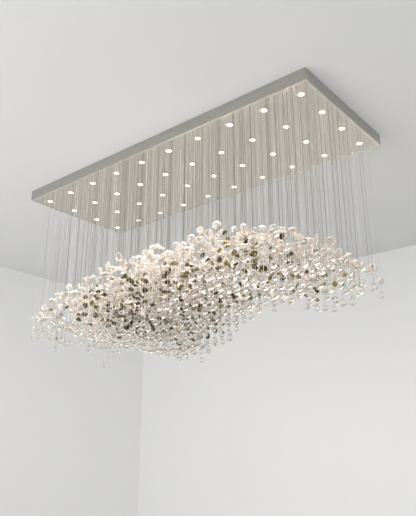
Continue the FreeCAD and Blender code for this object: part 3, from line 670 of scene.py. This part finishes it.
roomSettings = {
    "left": -3.0, "back": 2.55, "right": 6.0, "front": -7.0, "floor": -3.1,
    "ceilingGap": 0.0004,          # over the brackets' top
    "opening": (2.2, 0.7),         # in the ceiling over the canopy, so that day light reaches its fittings
    "colours": {"ceiling": "#e1e2e3", "floor": "#c2c1be", "leftWall": "#dddddc", "backWall": "#dfdfde"},
    # share of a surface's look that doesn't depend on the lamps
    "ownLight": {"ceiling": 0.2, "floor": 0.55, "leftWall": 0.55, "backWall": 0.55},
}


def seenRays(tree):
    # 1 for the rays that show a surface: straight, mirrored or through glass
    path = addNode(tree, "ShaderNodeLightPath")
    seen = addNode(tree, "ShaderNodeMath", {0: path.outputs["Is Camera Ray"], 1: path.outputs["Is Glossy Ray"]},
                   operation="MAXIMUM")
    return addNode(tree, "ShaderNodeMath", {0: seen.outputs[0], 1: path.outputs["Is Transmission Ray"]},
                   operation="MAXIMUM")


def mattPaint(name, colour, ownLight):
    # matt wall paint; seen from behind it lets the light in
    material = bpy.data.materials.new(name)
    material.use_nodes = True
    tree = material.node_tree
    tree.nodes.clear()
    paint = addNode(tree, "ShaderNodeBsdfDiffuse", Color=toLinear(colour))
    glow = addNode(tree, "ShaderNodeEmission", Color=toLinear(colour), Strength=1.0)
    part = addNode(tree, "ShaderNodeMath", {0: seenRays(tree).outputs[0]}, operation="MULTIPLY")
    part.inputs[1].default_value = ownLight
    both = addNode(tree, "ShaderNodeMixShader", {0: part.outputs[0], 1: paint.outputs[0], 2: glow.outputs[0]})
    side = addNode(tree, "ShaderNodeNewGeometry")
    clear = addNode(tree, "ShaderNodeBsdfTransparent")
    oneWay = addNode(tree, "ShaderNodeMixShader",
                     {0: side.outputs["Backfacing"], 1: both.outputs[0], 2: clear.outputs[0]})
    addNode(tree, "ShaderNodeOutputMaterial", {"Surface": oneWay.outputs[0]})
    return material


def addCeiling(width, depth, midX, midY):
    opening = roomSettings["opening"]
    deselectAll()
    bpy.ops.mesh.primitive_plane_add(size=1)
    sheet = editNew("ceiling")
    bpy.ops.mesh.select_all(action="SELECT")
    bpy.ops.transform.resize(value=(opening[0], opening[1], 1))
    bpy.ops.mesh.delete(type="ONLY_FACE")
    bpy.ops.mesh.select_all(action="SELECT")
    bpy.ops.mesh.extrude_edges_move(TRANSFORM_OT_translate={"value": (midX, midY, 0)})
    bpy.ops.transform.resize(value=(width / opening[0], depth / opening[1], 1), center_override=(midX, midY, 0))
    bpy.ops.mesh.select_all(action="SELECT")
    bpy.ops.mesh.normals_make_consistent(inside=False)
    bpy.ops.object.mode_set(mode="OBJECT")
    if sheet.data.polygons[0].normal.z > 0:
        sheet.data.flip_normals()
    sheet.location.z = roomSettings["ceilingGap"]
    return sheet


def addRoom():
    own = roomSettings
    width, depth, height = own["right"] - own["left"], own["back"] - own["front"], -own["floor"]
    midX, midY = (own["right"] + own["left"]) / 2, (own["back"] + own["front"]) / 2
    sheets = {
        "floor": ((midX, midY, own["floor"]), (0, 0, 0), (width, depth)),
        "leftWall": ((own["left"], midY, own["floor"] / 2), (0, math.pi / 2, 0), (height, depth)),
        "backWall": ((midX, own["back"], own["floor"] / 2), (math.pi / 2, 0, 0), (width, height)),
    }
    made = [addCeiling(width, depth, midX, midY)]
    for name, (place, turn, size) in sheets.items():
        deselectAll()
        bpy.ops.mesh.primitive_plane_add(size=1, location=place, rotation=turn)
        sheet = bpy.context.object
        sheet.name = name
        sheet.scale = (size[0], size[1], 1)
        made.append(sheet)
    for sheet in made:
        name = sheet.name
        sheet.data.materials.append(mattPaint(name + "Paint", own["colours"][name], own["ownLight"][name]))


lampSettings = {
    "windowLight": {"power": 170, "size": (3.5, 3.5), "place": (-1.5, -5.0, -1.6), "aim": (0, 0, -0.5),
                    "colour": (1.0, 0.98, 0.96), "seen": True},
    "spotsLight": {"power": 78, "size": (2.2, 0.8), "place": (0, 0, -0.084), "aim": (0, 0, -1.2),
                   "colour": (1.0, 0.98, 0.955), "seen": False},      # not mirrored in the wires
}


worldSettings = {"light": "#f4f4f2", "strength": 1.4, "backdrop": "#e9e9e7"}


def addWorld():
    # soft day light all round; what is seen of it is a plain pale backdrop
    own = worldSettings
    world = bpy.data.worlds.new("softDay")
    bpy.context.scene.world = world
    world.use_nodes = True
    tree = world.node_tree
    tree.nodes.clear()
    light = addNode(tree, "ShaderNodeBackground", Color=toLinear(own["light"]), Strength=own["strength"])
    backdrop = addNode(tree, "ShaderNodeBackground", Color=toLinear(own["backdrop"]), Strength=1.0)
    both = addNode(tree, "ShaderNodeMixShader",
                   {0: seenRays(tree).outputs[0], 1: light.outputs[0], 2: backdrop.outputs[0]})
    addNode(tree, "ShaderNodeOutputWorld", {"Surface": both.outputs[0]})


def addLamps():
    for name, own in lampSettings.items():
        data = bpy.data.lights.new(name, "AREA")
        data.shape = "RECTANGLE"
        data.energy, data.color = own["power"], own["colour"]
        data.size, data.size_y = own["size"]
        lamp = bpy.data.objects.new(name, data)
        lamp.location = own["place"]
        lamp.rotation_euler = (Vector(own["aim"]) - lamp.location).to_track_quat("-Z", "Y").to_euler()
        lamp.visible_camera = False
        lamp.visible_glossy = own["seen"]
        bpy.context.scene.collection.objects.link(lamp)


addRoom()
addWorld()
addLamps()
bpy.context.scene.view_settings.view_transform = "Standard"
print("room and light set")
